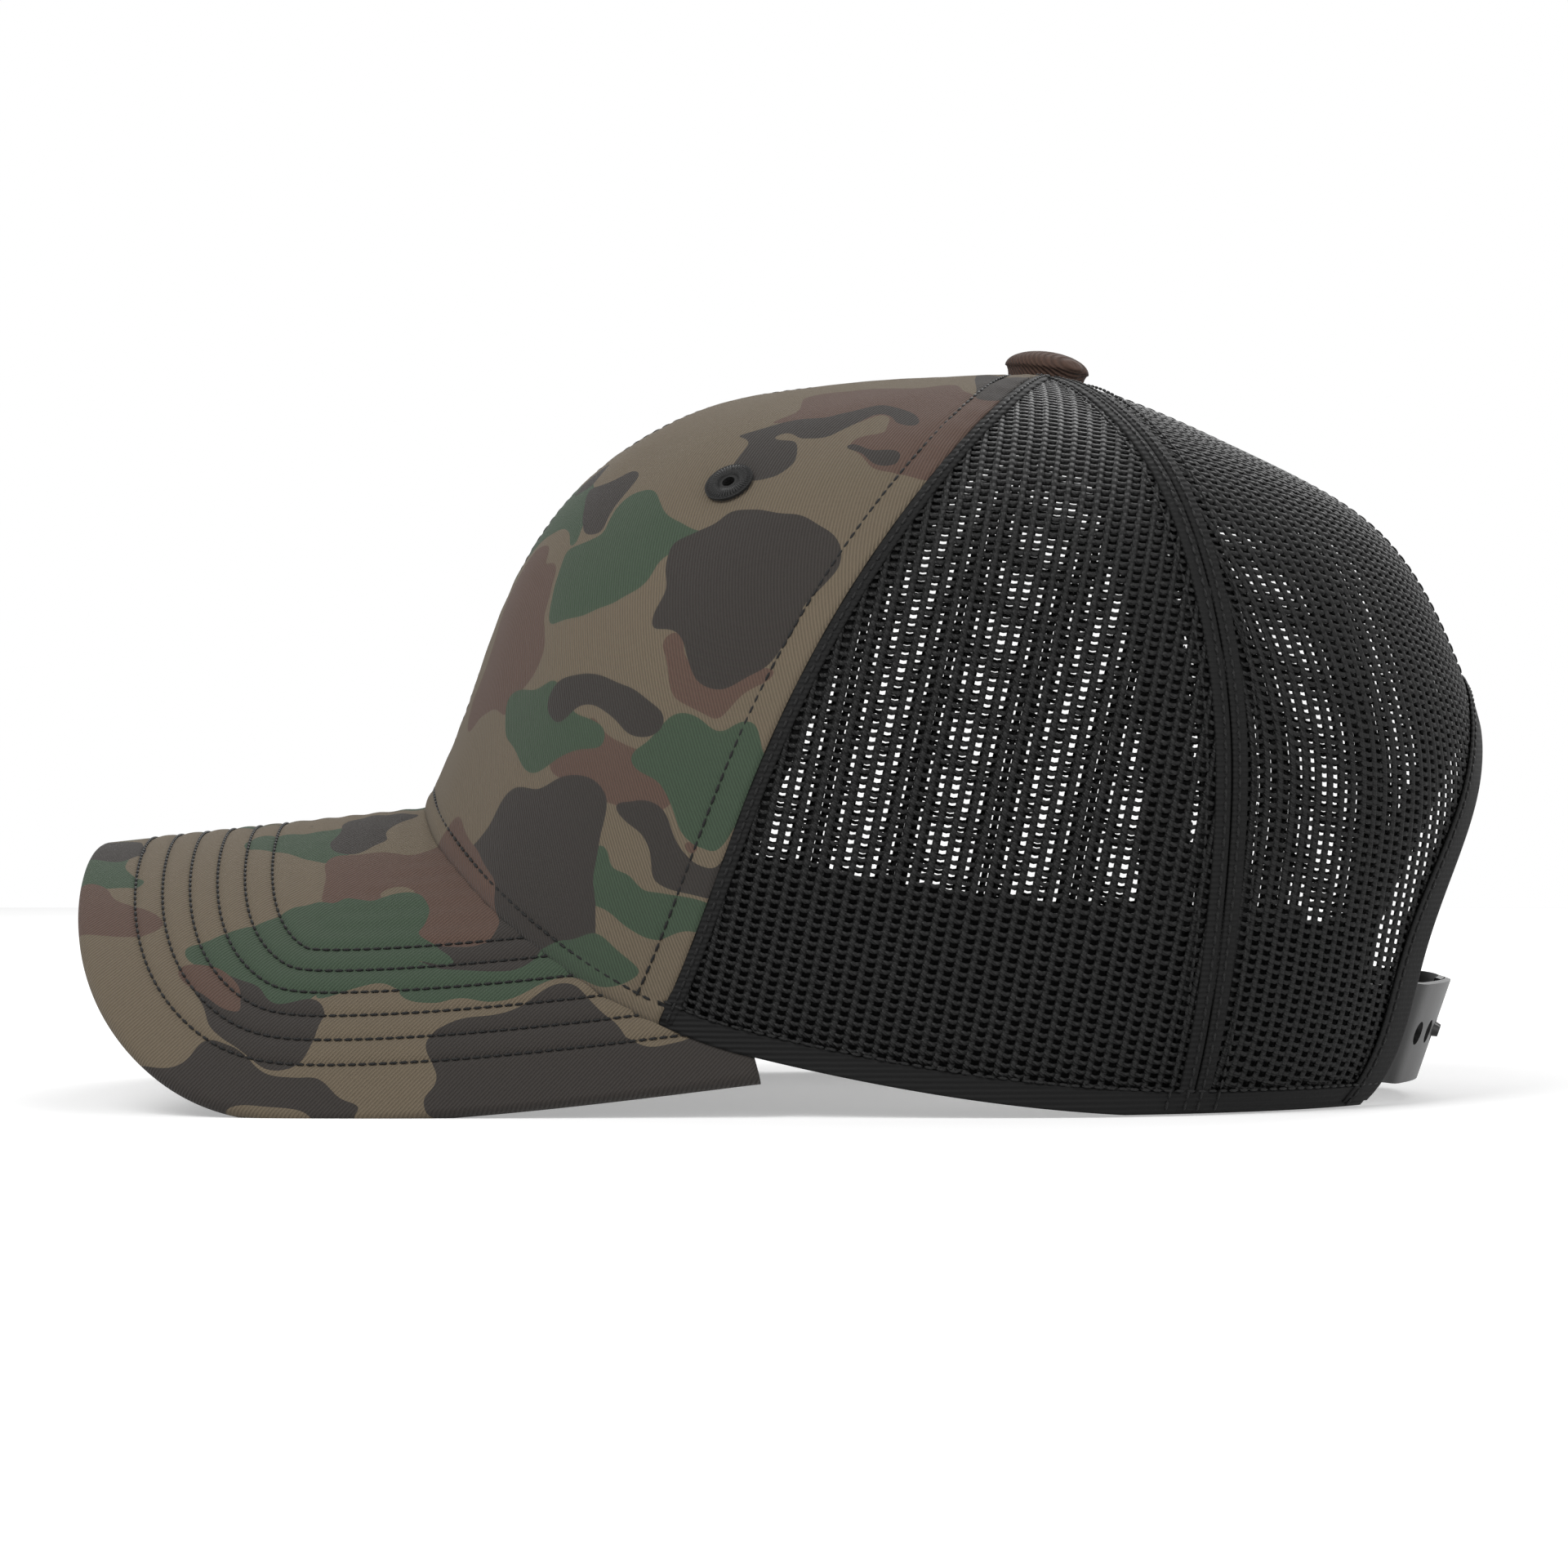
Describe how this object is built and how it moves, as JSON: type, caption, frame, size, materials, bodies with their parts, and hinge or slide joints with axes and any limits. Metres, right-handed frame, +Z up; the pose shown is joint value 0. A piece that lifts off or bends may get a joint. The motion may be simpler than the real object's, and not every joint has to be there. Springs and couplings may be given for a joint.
{
  "type": "trucker mesh cap",
  "caption": "Trucker cap with fabric front panels and arched visor, mesh side and back panels, covered top button and an adjustable snap strap across the back opening.",
  "frame": {"origin": "centre of the cap's bounding box, on the surface that the cap stands on", "axes": "+Z up, visor towards -Y, wearer's left towards +X"},
  "size_m": [0.1654, 0.256, 0.1393],
  "materials": {
    "camo_twill": "woodland print cotton twill, matt",
    "mesh": "black polyester knit mesh, satin yarn",
    "buckram": "stiff woven backing, resin sized",
    "tape": "black folded seam tape",
    "sweatband": "black brushed cotton band",
    "under_visor": "black cotton twill",
    "visor_board": "stiff polyethylene insert",
    "strap": "black moulded plastic, fine texture",
    "button_twill": "brown cotton twill",
    "button_metal": "plain pressed shell",
    "thread": "black embroidery thread"
  },
  "bodies": {
    "cap_shell": {"front_panel_left": "camo_twill", "front_panel_right": "camo_twill", "front_buckram_left": "buckram", "front_buckram_right": "buckram", "side_mesh_panel_left": "mesh", "side_mesh_panel_right": "mesh", "back_mesh_panel_left": "mesh", "back_mesh_panel_right": "mesh", "front_side_seam_tape_left": "tape", "front_side_seam_tape_right": "tape", "side_back_seam_tape_left": "tape", "side_back_seam_tape_right": "tape", "centre_front_seam_tape": "tape", "centre_back_seam_tape": "tape", "eyelet_left": "thread", "eyelet_right": "thread", "sweatband": "sweatband", "back_opening_binding": "tape", "visor_top_cover": "camo_twill", "visor_board": "visor_board", "visor_under_cover": "under_visor", "peg_strap_tab": "strap", "hole_strap_tab": "strap", "button_cover": "button_twill", "button_core": "button_metal", "button_washer": "button_metal"},
    "hole_strap": {"hole_strap": "strap"},
    "peg_strap": {"peg_strap": "strap"}
  },
  "joints": [
    {"name": "hole_strap_bend", "type": "hinge", "parent": "cap_shell", "child": "hole_strap", "pos_m": [0.03813, 0.10734, 0.0127], "axis": [-0.1674, -0.2649, -0.9496], "range_deg": [0, 70], "stiffness_Nm_per_rad": 0.02},
    {"name": "peg_strap_bend", "type": "hinge", "parent": "cap_shell", "child": "peg_strap", "pos_m": [-0.03811, 0.10735, 0.0127], "axis": [0.1674, -0.2649, -0.9496], "range_deg": [0, 30], "stiffness_Nm_per_rad": 0.02}
  ]
}
